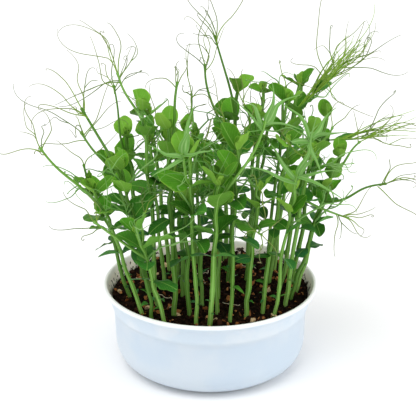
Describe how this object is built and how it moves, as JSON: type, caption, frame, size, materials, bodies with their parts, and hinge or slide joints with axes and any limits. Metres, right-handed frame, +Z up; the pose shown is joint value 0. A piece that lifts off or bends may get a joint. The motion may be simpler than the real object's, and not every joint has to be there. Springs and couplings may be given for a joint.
{
  "type": "pea shoot microgreens tray",
  "caption": "Round white tray of potting mix with a stand of pea shoots: leafy green stems with curling tendrils.",
  "frame": {"origin": "centre of the tray's flat base, on the surface it stands on", "axes": "+Z up, +X to the right and -Y to the front, seen from the front"},
  "size_m": [0.3087, 0.1904, 0.2764],
  "materials": {
    "tray": "moulded white, satin gloss",
    "soil": "moist fibrous potting mix, matt",
    "shoot": "fresh green stem, slightly waxy",
    "leaf": "fresh green leaf, waxy bloom",
    "chip": "bark and coir chips, matt"
  },
  "bodies": {
    "root": {"tray": "tray", "soil": "soil", "shoot_01": "shoot", "shoot_02": "shoot", "shoot_03": "shoot", "shoot_04": "shoot", "shoot_05": "shoot", "shoot_06": "shoot", "shoot_07": "shoot", "shoot_08": "shoot", "shoot_09": "shoot", "shoot_10": "shoot", "shoot_11": "shoot", "shoot_12": "shoot", "shoot_13": "shoot", "shoot_14": "shoot", "shoot_15": "shoot", "shoot_16": "shoot", "shoot_17": "shoot", "shoot_18": "shoot", "shoot_19": "shoot", "shoot_20": "shoot", "shoot_21": "shoot", "shoot_22": "shoot", "shoot_23": "shoot", "shoot_24": "shoot", "shoot_25": "shoot", "shoot_26": "shoot", "shoot_27": "shoot", "shoot_28": "shoot", "shoot_29": "shoot", "shoot_30": "shoot", "shoot_31": "shoot", "shoot_32": "shoot", "shoot_33": "shoot", "shoot_34": "shoot", "shoot_35": "shoot", "shoot_36": "shoot", "shoot_37": "shoot"}
  },
  "joints": []
}
